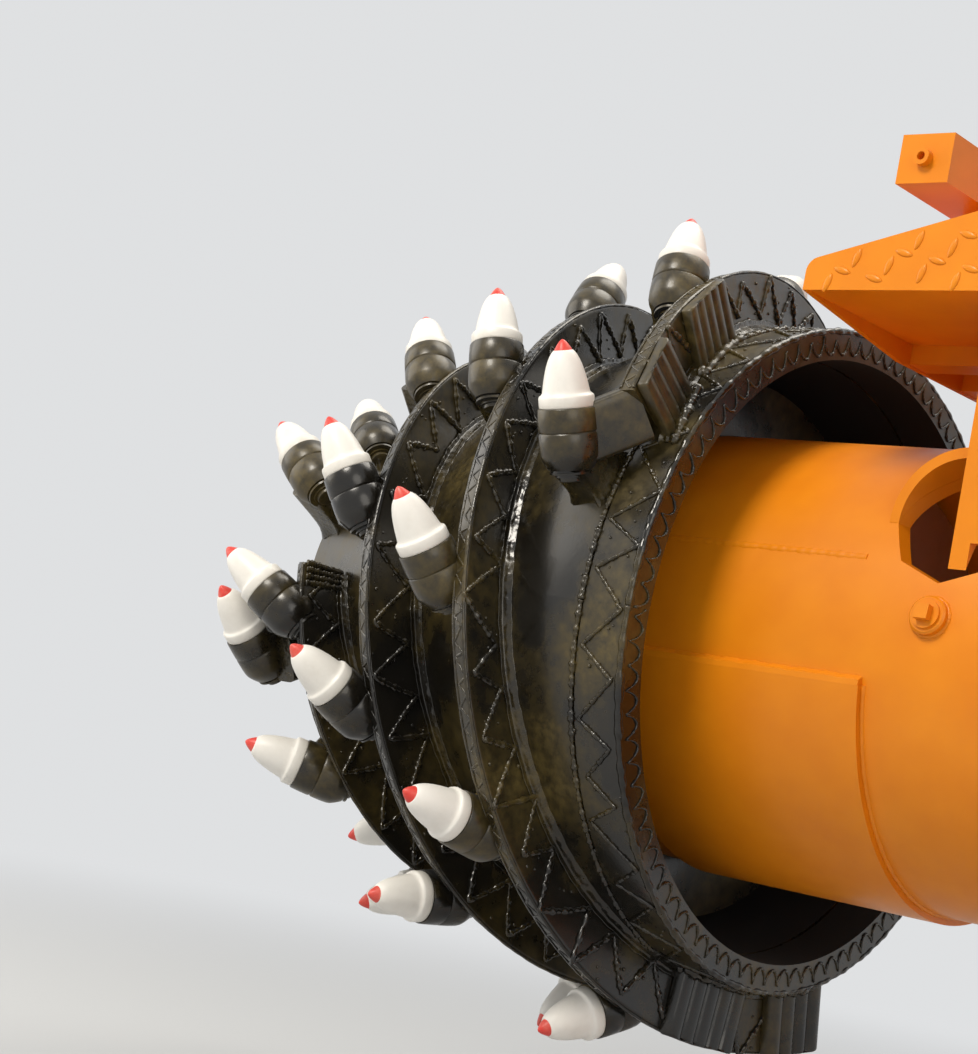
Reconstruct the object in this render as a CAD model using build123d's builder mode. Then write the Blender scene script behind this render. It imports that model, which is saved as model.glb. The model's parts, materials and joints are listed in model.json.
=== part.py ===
# Cutting drum of a trencher on its overhung arm.
# The origin is the centre of the arm's mounting face, +X points out of that face towards the machine and
# +Z is up. The drum hangs on the far side and turns about X.
# A station is a distance from the drum's mouth towards its nose. An angle is measured about X from the
# front (-Y) towards the top (+Z), which is also the way that the picks point.
import os
from math import atan2, cos, degrees, pi, radians, sin, sqrt, tan

from build123d import *

# Drum barrel, millimetres and degrees
arm_reach = 560.0  # mounting face to the drum's mouth
drum_radius = 381.0
drum_wall = 33.0
mouth_ring_width = 65.0
mouth_ring_chamfer = 4.0
blend_station = 70.0  # the barrel is a plain cylinder up to here
blend_radius = 500.0
cone_angle = 20.3
nose_station = 640.0
nose_plate_thickness = 25.0
nose_cover_radius = 105.0
nose_cover_thickness = 18.0

# Helical flights
flight_count = 3
flight_lead = 579.0
flight_start_station = 35.0
flight_start_angle = 29.2
flight_first = [0.0, -15.5, 0.0]  # wrap angle where each flight begins
flight_end_gap = 69.5  # from a flight's end to the nose plate, along the axis
flight_thickness = 22.0
flight_sections = 48
flight_height = 79.4  # the crowned rim outline stands this far off the mouth ring at its tallest
rim_crown_station = -89.0
rim_crown_arc = 1430.0
seat_gap = 0.3

# Ribbed wear blocks on the mouth side of each flight's first stretch
block_table = [  # wrap angle from the flight's start to the middle, width along the flight
    (5.7, 78.0),
    (24.2, 100.0),
]
block_rib_pitch = 19.5
block_depth = 15.0
block_rib_depth = 5.0
block_gap = 0.9

# Picks, holders and their lacing
pick_pitch = 36.7  # wrap angle from pick to pick along a flight
pick_first = [-4.6, 21.2, 7.9]  # wrap angle of each flight's first pick
pick_overrun = 32.0  # the last pick may stand this much wrap past its flight's end
notch_overrun = 24.0  # a pick further past its flight's end stands clear of it and has no notch
pick_offset = 52.0  # seat of the pick from the flight's mouth side, along the axis
lead_pick_shift = 18.0  # a pick that leads its flight stands this much nearer the nose
lead_pick_lean = 3.0
crown_overhang = 40.0  # corner picks stand beyond the barrel's nose, one for each flight
crown_angle = 343.0
crown_lean = 8.0
inner_pick_angle = 61.0  # one more corner pick, set lower and leaning more
inner_pick_sink = 33.0
inner_pick_lean = 45.0
attack_mouth = 44.0  # from the radius towards the cutting direction
attack_nose = 59.3
stand_mouth = 13.0  # seat of the pick outside the flights' rim
stand_nose = 42.0
lean_mouth = 14.0  # lean of the picks towards the nose
lean_nose = 53.0
lean_from = 350.0
flange_radius = 29.5
flange_thickness = 12.5
cap_radius = 25.0
cap_shoulder_radius = 16.5
cap_shoulder = 52.0
tip_radius = 8.5
tip_start = 61.0
pick_length = 71.5
holder_radius = 32.0
sleeve_length = 25.0
sleeve_lip = 1.5
holder_length = 56.0
holder_tail = 16.0
holder_tail_radius = 24.0
shank_radius = 13.0
shank_tail = 9.0
foot_width = 44.0
foot_behind_seat = 38.4  # middle of the foot, along the pick's axis
foot_length = 62.0
foot_below_seat = 6.0  # the foot stays this far behind the pick's seat
notch_gap = 2.0  # room left round the flight where a holder sits over it

# Drive inside the drum
seal_station = 150.0
seal_clearance = 13.7
seal_thickness = 20.0
gearbox_flange_rim = 46.0  # outside the arm tube
gearbox_flange_thickness = 30.0
gearbox_clearance = 19.0  # inside the arm tube
gearbox_length = 250.0
spindle_step = 95.0  # from the gearbox's radius down to the spindle's
spindle_length = 220.0
hub_clearance = 0.05
hub_gap = 20.0
hub_wall = 45.0
hub_flange_rim = 75.0
hub_flange_thickness = 28.0
web_station = 330.0
web_thickness = 30.0

# Arm tube and its mounting flange
mouth_gap = 127.0  # from the mouth ring's outside to the arm tube
tube_wall = 20.0
tube_inside_drum = 180.0
flange_rim = 86.0  # outside the arm tube
flange_depth = 35.0
bolt_circle_offset = 51.0  # outside the arm tube
bolt_count = 20
bolt_hole_radius = 16.5
gusset_count = 10
gusset_length = 110.0
gusset_thickness = 16.0
gusset_edge = 18.0
saddle_thickness = 8.0
saddle_top_angle = -8.5
saddle_end = 206.0  # from the mouth, towards the machine
saddle_inside_drum = 100.0

# Filler plug and hose port on the arm's front
plug_from_face = 291.0  # from the mounting face
plug_angle = 8.8
plug_boss_radius = 20.0
plug_boss_height = 9.0
plug_collar_radius = 15.0
plug_collar_height = 3.0
plug_square = 15.0
plug_square_height = 9.0
port_from_face = 294.0
port_below_top = 119.0  # below the arm tube's top
port_shoulder = 50.0  # half width where the port's sides turn in
port_shoulder_drop = 41.0
port_drop = 61.0
hood_radius = 84.0
hood_wall = 11.0

# Wedge guard of tread plate over the arm
guard_from_mouth = 83.0
guard_from_face = 130.0
guard_overhang = 46.0  # beyond the arm tube's side
guard_rise = 104.0  # above the arm tube's top
guard_low_end = 32.0
guard_slope = 14.6
guard_side_thickness = 8.0
guard_plate = 6.0
guard_corner = 16.0
leg_from_face = 169.0
leg_width = 120.0
leg_hood_gap = 7.5  # from the port's hood to the leg in front of it
leg_thickness = 15.0
leg_below_top = 136.0  # below the arm tube's top
leg_strap_width = 20.0
leg_strap_depth = 44.0
apron_depth = 24.0
apron_half_width = 100.0
stringer_height = 22.0
stringer_width = 40.0
stringer_middle = 60.0
beam_from_mouth = 172.0
beam_width = 60.0
beam_height = 52.0
beam_rise = 112.0  # above the guard's floor
beam_lug_middle = 150.0
beam_lug_thickness = 20.0
beam_plug_radius = 9.0
beam_plug_bore = 4.5
beam_plug_length = 9.0

mouth_x = -arm_reach
cone_slope = tan(radians(cone_angle))
rim_crown_radius = drum_radius + flight_height
crown_station = nose_station + crown_overhang
blend_end = blend_station + blend_radius * sin(radians(cone_angle))
blend_drop = blend_radius * (1 - cos(radians(cone_angle)))
wall_across_cone = drum_wall / cos(radians(cone_angle))
flight_rise = flight_lead / 360  # station gained per degree of wrap
flight_wrap = (nose_station - flight_end_gap - flight_start_station) / flight_rise
longest_wrap = flight_wrap - min(flight_first)
# Keeps a flight's straight root edges off the barrel
chord_gain = 1 / cos(radians(longest_wrap / flight_sections / 2))
tube_radius = drum_radius - mouth_gap
tube_inner_radius = tube_radius - tube_wall
flange_outer_radius = tube_radius + flange_rim
gearbox_radius = tube_inner_radius - gearbox_clearance
gearbox_flange_radius = tube_radius + gearbox_flange_rim
spindle_radius = gearbox_radius - spindle_step
hub_radius = spindle_radius + hub_wall

os.makedirs("parts", exist_ok=True)


def save(builder, name):
    builder.part.label = name
    export_step(builder.part, f"parts/{name}.step")


def radial_plane(angle):
    # Local x is the station and local y the distance from the axis
    turn = radians(angle)
    return Plane(origin=(mouth_x, 0, 0), x_dir=(-1, 0, 0), z_dir=(0, sin(turn), cos(turn)))


def outward(angle):
    turn = radians(angle)
    return Vector(0, -cos(turn), sin(turn))


def forward(angle):
    turn = radians(angle)
    return Vector(0, sin(turn), cos(turn))


def on_drum(station, radius, angle):
    return Vector(mouth_x - station, 0, 0) + outward(angle) * radius


def barrel_radius(station):
    if station <= blend_station:
        return drum_radius
    if station < blend_end:
        return drum_radius - blend_radius + sqrt(blend_radius**2 - (station - blend_station) ** 2)
    return drum_radius - blend_drop - (station - blend_end) * cone_slope


def barrel_inner_radius(station):
    return barrel_radius(station) - wall_across_cone


def rim_radius(station):
    along = station - rim_crown_station
    return rim_crown_radius - rim_crown_arc + sqrt(rim_crown_arc**2 - along**2)


def start_angle(flight):
    return flight_start_angle - flight * 360 / flight_count


def flight_station(wrap):
    return flight_start_station + flight_rise * wrap


# Barrel: cylinder, blend and cone with an even wall
with BuildPart() as barrel:
    inner_blend = blend_radius - drum_wall
    inner_end = blend_station + inner_blend * sin(radians(cone_angle))
    with BuildSketch(radial_plane(0)):
        with BuildLine():
            Line((mouth_ring_width, drum_radius), (blend_station, drum_radius))
            TangentArc((blend_station, drum_radius), (blend_end, drum_radius - blend_drop), tangent=(1, 0))
            Polyline(
                (blend_end, drum_radius - blend_drop),
                (nose_station, barrel_radius(nose_station)),
                (nose_station, barrel_inner_radius(nose_station)),
                (inner_end, drum_radius - drum_wall - inner_blend * (1 - cos(radians(cone_angle)))),
            )
            TangentArc(
                (blend_station, drum_radius - drum_wall),
                (inner_end, drum_radius - drum_wall - inner_blend * (1 - cos(radians(cone_angle)))),
                tangent=(1, 0),
            )
            Polyline(
                (blend_station, drum_radius - drum_wall),
                (mouth_ring_width, drum_radius - drum_wall),
                (mouth_ring_width, drum_radius),
            )
        make_face()
    revolve(axis=Axis.X)
save(barrel, "barrel")

# Mouth ring at the open end
with BuildPart() as mouth_ring:
    with BuildSketch(radial_plane(0)):
        with Locations((mouth_ring_width / 2, drum_radius - drum_wall / 2)):
            Rectangle(mouth_ring_width, drum_wall)
        chamfer(vertices().group_by(Axis.X)[-1], length=mouth_ring_chamfer)
    revolve(axis=Axis.X)
save(mouth_ring, "mouth_ring")

# Nose plate and its cover
with BuildPart() as nose_plate:
    nose_end = nose_station + nose_plate_thickness
    with BuildSketch(radial_plane(0)):
        with BuildLine():
            Polyline(
                (nose_station, 0),
                (nose_station, barrel_radius(nose_station)),
                (nose_end, barrel_radius(nose_end)),
                (nose_end, 0),
                close=True,
            )
        make_face()
    revolve(axis=Axis.X)
save(nose_plate, "nose_plate")

with BuildPart() as nose_cover:
    with BuildSketch(Plane.YZ.offset(mouth_x - nose_end)):
        Circle(nose_cover_radius)
    extrude(amount=-nose_cover_thickness)
    chamfer(edges().group_by(Axis.X)[0], length=nose_cover_thickness / 3)
save(nose_cover, "nose_cover")

# Web and hub that carry the barrel on the spindle
gearbox_face = tube_inside_drum + gearbox_flange_thickness
hub_start = gearbox_face + hub_gap
web_end = web_station + web_thickness
with BuildPart() as drive_web:
    with BuildSketch(radial_plane(0)):
        with BuildLine():
            Polyline(
                (web_station, hub_radius + seat_gap),
                (web_station, barrel_inner_radius(web_station) - seat_gap),
                (web_end, barrel_inner_radius(web_end) - seat_gap),
                (web_end, hub_radius + seat_gap),
                close=True,
            )
        make_face()
    revolve(axis=Axis.X)
save(drive_web, "drive_web")

with BuildPart() as drive_hub:
    with BuildSketch(radial_plane(0)):
        with BuildLine():
            Polyline(
                (hub_start, spindle_radius + hub_clearance),
                (hub_start, hub_radius),
                (web_end, hub_radius),
                (web_end, hub_radius + hub_flange_rim),
                (web_end + hub_flange_thickness, hub_radius + hub_flange_rim),
                (web_end + hub_flange_thickness, spindle_radius + hub_clearance),
                close=True,
            )
        make_face()
    revolve(axis=Axis.X)
save(drive_hub, "drive_hub")

# Flights: ruled lofts through radial sections of the plate
for flight in range(flight_count):
    first = flight_first[flight]
    with BuildPart() as flight_plate:
        for section in range(flight_sections + 1):
            wrap = first + (flight_wrap - first) * section / flight_sections
            near = flight_station(wrap)
            far = near + flight_thickness
            with BuildSketch(radial_plane(start_angle(flight) + wrap)):
                with BuildLine():
                    Polyline(
                        (near, (barrel_radius(near) + seat_gap) * chord_gain),
                        (near, rim_radius(near)),
                        (far, rim_radius(far)),
                        (far, (barrel_radius(far) + seat_gap) * chord_gain),
                        close=True,
                    )
                make_face()
        loft(ruled=True)
    save(flight_plate, f"flight_{flight + 1}")

# Ribbed wear blocks: the ribs run from the barrel to the rim
for flight in range(flight_count):
    with BuildPart() as wear_blocks:
        for past_start, width in block_table:
            wrap = flight_first[flight] + past_start
            angle = start_angle(flight) + wrap
            station = flight_station(wrap)
            foot = on_drum(station, drum_radius + seat_gap, angle)
            slope = flight_lead / (pi * (drum_radius + rim_radius(station)))
            ribs = round(width / block_rib_pitch)
            rib_width = width / ribs
            groove = block_depth - block_rib_depth
            back = [(end, end * slope - block_gap) for end in (-width / 2, width / 2)]
            front = [(width / 2, width / 2 * slope - groove)]
            for rib in range(ribs):
                crest = width / 2 - (rib + 0.5) * rib_width
                valley = width / 2 - (rib + 1) * rib_width
                front.append((crest, crest * slope - block_depth))
                front.append((valley, valley * slope - groove))
            with BuildSketch(Plane(origin=foot, x_dir=forward(angle), z_dir=outward(angle))):
                with BuildLine():
                    Polyline(*back, *front, close=True)
                make_face()
            extrude(amount=rim_radius(station) - drum_radius - 2 * seat_gap)
    save(wear_blocks, f"wear_blocks_{flight + 1}")

# Envelope of the barrel and nose, for seating the holders' feet
with BuildPart() as seat_envelope:
    with BuildSketch(radial_plane(0)):
        with BuildLine():
            Line((0, 0), (0, drum_radius + seat_gap))
            Line((0, drum_radius + seat_gap), (blend_station, drum_radius + seat_gap))
            TangentArc(
                (blend_station, drum_radius + seat_gap),
                (blend_end, drum_radius + seat_gap - blend_drop),
                tangent=(1, 0),
            )
            Polyline(
                (blend_end, drum_radius + seat_gap - blend_drop),
                (nose_end + seat_gap, barrel_radius(nose_end) + seat_gap),
                (nose_end + seat_gap, 0),
                (0, 0),
            )
        make_face()
    revolve(axis=Axis.X)


def flight_lean(station):
    # Picks along a flight lean more and more to the nose
    share = max(station - lean_from, 0) / (crown_station - lean_from)
    return lean_mouth + share * (lean_nose - lean_mouth)


def pick_plane(station, angle, lean, sink=0.0):
    # Local z runs along the pick towards its tip, local x leans to the drum's nose
    share = station / crown_station
    attack = radians(attack_mouth + share * (attack_nose - attack_mouth))
    stand = stand_mouth + share * (stand_nose - stand_mouth)
    upright = outward(angle) * cos(attack) + forward(angle) * sin(attack)
    along = upright * cos(radians(lean)) + Vector(-1, 0, 0) * sin(radians(lean))
    across = Vector(-1, 0, 0) * cos(radians(lean)) - upright * sin(radians(lean))
    seat = on_drum(station, rim_radius(station) + stand - sink, angle)
    return Plane(origin=seat, x_dir=across, z_dir=along)


def half_section(plane, points):
    # Points are (distance from the pick's axis, distance along it)
    with BuildSketch(Plane(origin=plane.origin, x_dir=plane.x_dir, z_dir=-plane.y_dir)) as section:
        with BuildLine():
            Polyline(*points, close=True)
        make_face()
    return section.sketch


holder_profile = [
    (0, 0),
    (holder_radius - sleeve_lip, 0),
    (holder_radius, -sleeve_length),
    (holder_radius, -holder_length),
    (holder_tail_radius, -holder_length - holder_tail),
    (shank_radius, -holder_length - holder_tail),
    (shank_radius, -holder_length - holder_tail - shank_tail),
    (0, -holder_length - holder_tail - shank_tail),
]
cap_profile = [
    (0, 0),
    (flange_radius, 0),
    (flange_radius, flange_thickness),
    (cap_radius, flange_thickness),
    (cap_shoulder_radius, cap_shoulder),
    (tip_radius, tip_start),
    (0, tip_start),
]
tip_profile = [(0, tip_start), (tip_radius, tip_start), (0, pick_length)]


def holder_solid(plane, station, angle, over_flight):
    # Turned holder on a foot that stands on the barrel, notched where it sits over its flight
    middle = plane.origin - plane.z_dir * foot_behind_seat
    foot_angle = degrees(atan2(middle.Z, -middle.Y))
    turned = radians(angle - foot_angle)
    turned_back = degrees(atan2(sin(turned), cos(turned)))
    near = station - pick_offset - flight_rise * turned_back  # the flight's mouth side at the foot
    beside_flight = near + flight_thickness + notch_gap + foot_width / 2
    foot_station = min(max(mouth_x - middle.X, beside_flight), nose_end - foot_width / 2)
    height = sqrt(middle.Y**2 + middle.Z**2)
    notch_reach = holder_length + holder_tail + shank_tail + foot_length / 2
    slope = degrees(flight_rise) / rim_radius(near)
    rim_fall = (rim_radius(near + 1) - rim_radius(near)) * slope
    along_flight = (forward(foot_angle) + Vector(-1, 0, 0) * slope).normalized()
    notch = Plane(
        origin=on_drum(near - notch_gap, 0, foot_angle),
        x_dir=along_flight,
        z_dir=outward(foot_angle).cross(along_flight),
    )
    with BuildPart() as holder:
        foot = Plane(
            origin=on_drum(foot_station, height, foot_angle),
            x_dir=forward(foot_angle),
            z_dir=outward(foot_angle),
        )
        with BuildSketch(foot):
            Rectangle(foot_length, foot_width)
        extrude(amount=barrel_inner_radius(foot_station) - height)
        with BuildSketch(plane.offset(-foot_below_seat)):
            Circle(foot_length)
        extrude(amount=pick_length, mode=Mode.SUBTRACT)
        revolve(half_section(plane, holder_profile), axis=Axis(plane.origin, plane.z_dir))
        add(seat_envelope.part, mode=Mode.SUBTRACT)
        if over_flight:
            with BuildSketch(notch):
                with BuildLine():
                    Polyline(
                        (-notch_reach, 0),
                        (notch_reach, 0),
                        (notch_reach, -rim_radius(near) - rim_fall * notch_reach - notch_gap),
                        (-notch_reach, -rim_radius(near) + rim_fall * notch_reach - notch_gap),
                        close=True,
                    )
                make_face()
            extrude(amount=flight_thickness + 2 * notch_gap, mode=Mode.SUBTRACT)
    return holder.part.solids().sort_by(SortBy.VOLUME)[-1]


# One row of picks along each flight, and the crown round the nose
pick_rows = []  # name ending, planes of the picks, and station, angle and notch of their feet
crown_planes = [pick_plane(crown_station, inner_pick_angle, inner_pick_lean, inner_pick_sink)]
crown_feet = [(crown_station, inner_pick_angle, False)]
for flight in range(flight_count):
    planes = []
    feet = []
    wrap = pick_first[flight]
    while wrap < flight_wrap + pick_overrun:
        station = flight_station(wrap) + pick_offset
        lean = flight_lean(station)
        if wrap < flight_first[flight]:
            station += lead_pick_shift
            lean = lead_pick_lean
        angle = start_angle(flight) + wrap
        planes.append(pick_plane(station, angle, lean))
        feet.append((station, angle, wrap < flight_wrap + notch_overrun))
        wrap += pick_pitch
    pick_rows.append((f"{flight + 1}", planes, feet))
    angle = crown_angle - flight * 360 / flight_count
    crown_planes.append(pick_plane(crown_station, angle, crown_lean))
    crown_feet.append((crown_station, angle, False))
pick_rows.append(("crown", crown_planes, crown_feet))

for ending, planes, feet in pick_rows:
    with BuildPart() as holders:
        for plane, foot in zip(planes, feet):
            add(holder_solid(plane, *foot))
    save(holders, f"holders_{ending}")
    with BuildPart() as picks:
        for plane in planes:
            revolve(half_section(plane, cap_profile), axis=Axis(plane.origin, plane.z_dir))
    save(picks, f"picks_{ending}")
    with BuildPart() as tips:
        for plane in planes:
            revolve(half_section(plane, tip_profile), axis=Axis(plane.origin, plane.z_dir))
    save(tips, f"tips_{ending}")

# Arm tube with the hose port cut in its front wall
port_x = -port_from_face
port_height = tube_radius - port_below_top
port_half_width = hood_radius - hood_wall
hood_front = sqrt(tube_radius**2 - port_height**2)  # the hood's lower ends run out on the tube
with BuildPart() as arm_tube:
    tube_length = arm_reach + tube_inside_drum - flange_depth
    with BuildSketch(Plane.YZ.offset(-flange_depth)):
        Circle(tube_radius)
        Circle(tube_inner_radius, mode=Mode.SUBTRACT)
    extrude(amount=-tube_length)
    with BuildSketch(Plane(origin=(port_x, 0, port_height), x_dir=(1, 0, 0), z_dir=(0, -1, 0))):
        with BuildLine():
            ThreePointArc((port_half_width, 0), (0, port_half_width), (-port_half_width, 0))
            Polyline(
                (-port_half_width, 0),
                (-port_shoulder, -port_shoulder_drop),
                (0, -port_drop),
                (port_shoulder, -port_shoulder_drop),
                (port_half_width, 0),
            )
        make_face()
    extrude(amount=tube_radius, mode=Mode.SUBTRACT)
save(arm_tube, "arm_tube")

# Mounting flange with its bolt circle, and the gussets behind it
with BuildPart() as mount_flange:
    with BuildSketch(Plane.YZ.offset(-flange_depth)):
        Circle(flange_outer_radius)
        Circle(tube_inner_radius, mode=Mode.SUBTRACT)
        with PolarLocations(tube_radius + bolt_circle_offset, bolt_count):
            Circle(bolt_hole_radius, mode=Mode.SUBTRACT)
    extrude(amount=flange_depth)
save(mount_flange, "mount_flange")

with BuildPart() as flange_gussets:
    gusset_foot = tube_radius + seat_gap
    for gusset in range(gusset_count):
        gusset_angle = (gusset + 0.25) * 360 / gusset_count
        turned = radians(gusset_angle)
        gusset_plane = Plane(
            origin=(-flange_depth, 0, 0), x_dir=(-1, 0, 0), z_dir=(0, sin(turned), cos(turned))
        )
        with BuildSketch(gusset_plane):
            with BuildLine():
                Polyline(
                    (0, gusset_foot),
                    (0, flange_outer_radius),
                    (gusset_edge, flange_outer_radius),
                    (gusset_length, gusset_foot + gusset_edge),
                    (gusset_length, gusset_foot),
                    close=True,
                )
            make_face()
        extrude(amount=gusset_thickness / 2, both=True)
save(flange_gussets, "flange_gussets")

# Half shell that stiffens the arm's underside
with BuildPart() as wear_saddle:
    saddle_length = saddle_end + saddle_inside_drum
    with BuildSketch(radial_plane(saddle_top_angle)):
        with Locations((saddle_inside_drum - saddle_length / 2, tube_radius + seat_gap + saddle_thickness / 2)):
            Rectangle(saddle_length, saddle_thickness)
    revolve(axis=Axis.X, revolution_arc=180 + 2 * saddle_top_angle)
save(wear_saddle, "wear_saddle")

# Gearbox in the arm's end, the seal carrier round it and the spindle
with BuildPart() as gearbox:
    with BuildSketch(radial_plane(0)):
        with BuildLine():
            Polyline(
                (tube_inside_drum - gearbox_length, 0),
                (tube_inside_drum - gearbox_length, gearbox_radius),
                (tube_inside_drum, gearbox_radius),
                (tube_inside_drum, gearbox_flange_radius),
                (gearbox_face, gearbox_flange_radius),
                (gearbox_face, spindle_radius),
                (gearbox_face + spindle_length, spindle_radius),
                (gearbox_face + spindle_length, 0),
                close=True,
            )
        make_face()
    revolve(axis=Axis.X)
save(gearbox, "gearbox")

with BuildPart() as seal_carrier:
    with BuildSketch(Plane.YZ.offset(mouth_x - seal_station)):
        Circle(barrel_inner_radius(seal_station + seal_thickness) - seal_clearance)
        Circle(tube_radius + seat_gap, mode=Mode.SUBTRACT)
    extrude(amount=-seal_thickness)
save(seal_carrier, "seal_carrier")

# Square-headed filler plug in its boss
plug_seat = Vector(-plug_from_face, 0, 0) + outward(plug_angle) * (tube_radius + seat_gap)
plug_plane = Plane(origin=plug_seat, x_dir=(1, 0, 0), z_dir=outward(plug_angle))
with BuildPart() as plug_boss:
    with BuildSketch(plug_plane):
        Circle(plug_boss_radius)
    extrude(amount=plug_boss_height)
    chamfer(faces().sort_by(Axis(plug_seat, plug_plane.z_dir))[-1].edges(), length=2)
save(plug_boss, "plug_boss")

with BuildPart() as filler_plug:
    with BuildSketch(plug_plane.offset(plug_boss_height)):
        Circle(plug_collar_radius)
    extrude(amount=plug_collar_height)
    with BuildSketch(plug_plane.offset(plug_boss_height + plug_collar_height)):
        Rectangle(plug_square, plug_square)
    extrude(amount=plug_square_height)
save(filler_plug, "filler_plug")

# Half-pipe hood over the hose port, trimmed to the tube
with BuildPart() as port_hood:
    with BuildSketch(Plane.XZ):
        with Locations((port_x, port_height)):
            Circle(hood_radius)
            Circle(port_half_width, mode=Mode.SUBTRACT)
        with Locations((port_x, port_height - hood_radius)):
            Rectangle(2 * hood_radius, 2 * hood_radius, mode=Mode.SUBTRACT)
    extrude(amount=hood_front)
    with BuildSketch(Plane.YZ):
        Circle(tube_radius + seat_gap)
    extrude(amount=-arm_reach, mode=Mode.SUBTRACT)
save(port_hood, "port_hood")

# Wedge guard: tread-plate sides, bent deck and floor
guard_x = mouth_x + guard_from_mouth
guard_end = -guard_from_face
guard_floor_height = tube_radius + guard_rise
guard_half_width = tube_radius + guard_overhang
guard_high_end = guard_low_end + (guard_end - guard_x) * tan(radians(guard_slope))
guard_inner = guard_half_width - guard_side_thickness


def guard_outline(inset, corner):
    # Wedge outline in the XZ plane, drawn in from the outside of the plates by an inset
    with BuildSketch() as outline:
        with BuildLine():
            Polyline(
                (guard_x + inset, guard_floor_height),
                (guard_x + inset, guard_floor_height + guard_low_end - inset),
                (guard_end, guard_floor_height + guard_high_end - inset),
                (guard_end, guard_floor_height),
                close=True,
            )
        make_face()
        fillet(vertices().group_by(Axis.X)[0].sort_by(Axis.Y)[-1], radius=corner)
    return outline.sketch


with BuildPart() as guard_sides:
    for side in (-guard_half_width, guard_inner):
        with BuildSketch(Plane.XZ.offset(-side)):
            add(guard_outline(0, guard_corner))
        extrude(amount=-guard_side_thickness)
save(guard_sides, "guard_sides")

with BuildPart() as guard_deck:
    with BuildSketch(Plane.XZ.offset(-guard_inner)):
        add(guard_outline(0, guard_corner))
        add(guard_outline(guard_plate, guard_corner - guard_plate), mode=Mode.SUBTRACT)
    extrude(amount=2 * guard_inner)
save(guard_deck, "guard_deck")

with BuildPart() as guard_floor:
    floor_start = guard_x + guard_plate
    with BuildSketch(Plane.XY.offset(guard_floor_height)):
        with Locations(((floor_start + guard_end) / 2, 0)):
            Rectangle(guard_end - floor_start, 2 * guard_inner)
    extrude(amount=guard_plate)
save(guard_floor, "guard_floor")

# Stringers under the floor with the apron that closes their ends, and the legs that stand on the tube
with BuildPart() as guard_stringers:
    with BuildSketch(Plane.XY.offset(guard_floor_height)):
        for side in (-stringer_middle, stringer_middle):
            with Locations(((floor_start + guard_end) / 2, side)):
                Rectangle(guard_end - floor_start, stringer_width)
    extrude(amount=-stringer_height)
    with BuildSketch(Plane.YZ.offset(guard_x)):
        with BuildLine():
            Polyline(
                (-guard_half_width, guard_floor_height),
                (-apron_half_width, guard_floor_height - apron_depth),
                (apron_half_width, guard_floor_height - apron_depth),
                (guard_half_width, guard_floor_height),
                close=True,
            )
        make_face()
    extrude(amount=guard_plate)
save(guard_stringers, "guard_stringers")

with BuildPart() as guard_legs:
    leg_x = -leg_from_face - leg_width
    leg_middle = hood_front + leg_hood_gap + leg_thickness / 2
    leg_bottom = tube_radius - leg_below_top
    for side in (-leg_middle, leg_middle):
        with BuildSketch(Plane.XZ.offset(-side - leg_thickness / 2)):
            with BuildLine():
                Polyline(
                    (leg_x, guard_floor_height),
                    (leg_x, leg_bottom - leg_strap_depth),
                    (leg_x + leg_strap_width, leg_bottom - leg_strap_depth),
                    (leg_x + leg_strap_width, leg_bottom),
                    (leg_x + leg_width, leg_bottom),
                    (leg_x + leg_width, guard_floor_height),
                    close=True,
                )
            make_face()
        extrude(amount=leg_thickness)
    with BuildSketch(Plane.YZ):
        Circle(tube_radius + seat_gap)
    extrude(amount=-arm_reach, mode=Mode.SUBTRACT)
save(guard_legs, "guard_legs")

# Square beam across the guard, on two lugs
with BuildPart() as cross_beam:
    beam_x = mouth_x + beam_from_mouth + beam_width / 2
    beam_bottom = guard_floor_height + beam_rise
    with BuildSketch(Plane.XZ.offset(guard_half_width)):
        with Locations((beam_x, beam_bottom + beam_height / 2)):
            Rectangle(beam_width, beam_height)
    extrude(amount=-2 * guard_half_width)
save(cross_beam, "cross_beam")

with BuildPart() as beam_lugs:
    deck_left = guard_floor_height + guard_low_end + (beam_x - beam_width / 2 - guard_x) * tan(radians(guard_slope))
    deck_right = deck_left + beam_width * tan(radians(guard_slope))
    for side in (-beam_lug_middle, beam_lug_middle):
        with BuildSketch(Plane.XZ.offset(-side - beam_lug_thickness / 2)):
            with BuildLine():
                Polyline(
                    (beam_x - beam_width / 2, deck_left),
                    (beam_x - beam_width / 2, beam_bottom),
                    (beam_x + beam_width / 2, beam_bottom),
                    (beam_x + beam_width / 2, deck_right),
                    close=True,
                )
            make_face()
        extrude(amount=beam_lug_thickness)
save(beam_lugs, "beam_lugs")

with BuildPart() as beam_plug:
    with BuildSketch(Plane.XZ.offset(guard_half_width)):
        with Locations((beam_x, beam_bottom + beam_height / 2)):
            Circle(beam_plug_radius)
            Circle(beam_plug_bore, mode=Mode.SUBTRACT)
    extrude(amount=beam_plug_length)
save(beam_plug, "beam_plug")
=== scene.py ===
import json

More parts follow.
